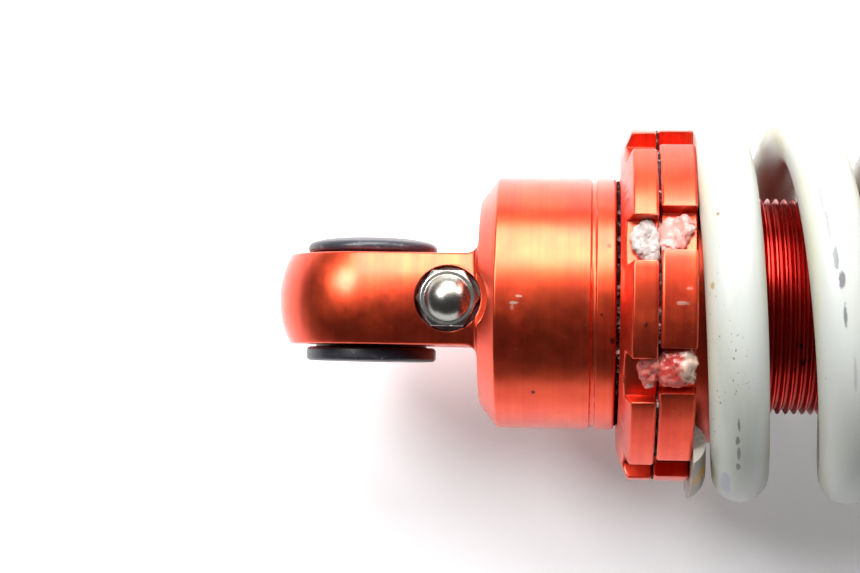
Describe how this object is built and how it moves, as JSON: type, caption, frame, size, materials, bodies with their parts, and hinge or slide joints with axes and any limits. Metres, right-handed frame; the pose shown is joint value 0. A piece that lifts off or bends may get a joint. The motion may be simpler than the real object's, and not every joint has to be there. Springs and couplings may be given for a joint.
{
  "type": "rear shock",
  "caption": "Coil-over rear shock with a machined end cap, threaded body, castellated preload rings and a white coil spring.",
  "frame": {"origin": "centre of the upper eye, on the bolt axis midway between the bush faces", "axes": "+X down the shaft to the lower eye, +Y along the bolt axes, +Z on the side with the gas valve"},
  "size_m": [0.2845, 0.0722, 0.0722],
  "materials": {
    "anodised_orange": "orange-red anodised, turned",
    "white_powder_coat": "white powder coat, stained",
    "black_acetal": "moulded black acetal, worn",
    "stainless_nut": "bright turned stainless",
    "zinc_steel": "zinc plated",
    "hard_chrome": "hard chromed and ground",
    "plain_aluminium": "as turned",
    "spring_steel": "blued spring steel",
    "bronze_ptfe": "bronze-filled wear band",
    "black_nitrile": "moulded nitrile",
    "urethane": "cast urethane, amber"
  },
  "bodies": {
    "damper_body": {"upper_end_cap": "anodised_orange", "damper_tube": "anodised_orange", "cap_o_ring": "black_nitrile", "dome_nut": "stainless_nut", "gas_valve_stem": "zinc_steel", "valve_washer": "zinc_steel", "upper_bush_front": "black_acetal", "upper_bush_back": "black_acetal", "seal_head": "plain_aluminium", "rod_seal": "black_nitrile", "rod_wiper": "black_nitrile", "seal_head_o_ring": "black_nitrile", "retaining_circlip": "spring_steel"},
    "upper_sleeve": {"upper_eye_sleeve": "zinc_steel"},
    "spring": {"coil_spring": "white_powder_coat"},
    "preload_ring": {"preload_ring": "anodised_orange"},
    "lock_ring": {"lock_ring": "anodised_orange"},
    "floating_piston": {"floating_piston": "plain_aluminium", "floating_piston_o_ring": "black_nitrile"},
    "rod_assembly": {"piston_rod": "hard_chrome", "main_piston": "plain_aluminium", "piston_band": "bronze_ptfe", "compression_shims": "spring_steel", "rebound_shims": "spring_steel", "piston_nut": "zinc_steel", "top_out_bumper": "urethane", "bump_stop": "urethane", "bump_stop_washer": "zinc_steel", "rod_lock_nut": "zinc_steel", "lower_spring_seat": "anodised_orange", "lower_eye_mount": "anodised_orange", "lower_bush_front": "black_acetal", "lower_bush_back": "black_acetal"},
    "lower_sleeve": {"lower_eye_sleeve": "zinc_steel"},
    "rebound_adjuster": {"rebound_adjuster_screw": "stainless_nut"},
    "rebound_needle": {"rebound_needle": "stainless_nut"}
  },
  "joints": [
    {"name": "stroke", "type": "slide", "parent": "damper_body", "child": "rod_assembly", "axis": [-1, 0, 0], "range_m": [0, 0.05], "stiffness_N_per_m": 72000, "springref_m": -0.002, "deforming": ["coil_spring"]},
    {"name": "gas_piston_travel", "type": "slide", "parent": "damper_body", "child": "floating_piston", "axis": [-1, 0, 0], "range_m": [0, 0.0072]},
    {"name": "preload_travel", "type": "slide", "parent": "damper_body", "child": "spring", "axis": [1, 0, 0], "range_m": [0, 0.006], "deforming": ["coil_spring"]},
    {"name": "preload_turn", "type": "hinge", "parent": "spring", "child": "preload_ring", "pos_m": [0.056, 0, 0], "axis": [1, 0, 0], "range_deg": [0, 1441]},
    {"name": "lock_turn", "type": "hinge", "parent": "spring", "child": "lock_ring", "pos_m": [0.049, 0, 0], "axis": [1, 0, 0], "range_deg": [0, 1441]},
    {"name": "upper_sleeve_turn", "type": "hinge", "parent": "damper_body", "child": "upper_sleeve", "pos_m": [0, 0, 0], "axis": [0, 1, 0], "continuous": true},
    {"name": "lower_sleeve_turn", "type": "hinge", "parent": "rod_assembly", "child": "lower_sleeve", "pos_m": [0.25, 0, 0], "axis": [0, 1, 0], "continuous": true},
    {"name": "rebound_screw_turn", "type": "hinge", "parent": "rod_assembly", "child": "rebound_adjuster", "pos_m": [0.231, 0, 0], "axis": [0, 0, 1], "range_deg": [0, 901]},
    {"name": "needle_travel", "type": "slide", "parent": "rod_assembly", "child": "rebound_needle", "axis": [-1, 0, 0], "range_m": [0, 0.0015]}
  ],
  "couplings": [
    {"joint": "gas_piston_travel", "follows": "stroke", "ratio": 0.14062},
    {"joint": "preload_turn", "follows": "preload_travel", "rad_per_m": 4188.8},
    {"joint": "lock_turn", "follows": "preload_travel", "rad_per_m": 4188.8},
    {"joint": "rebound_screw_turn", "follows": "needle_travel", "rad_per_m": 10472}
  ]
}
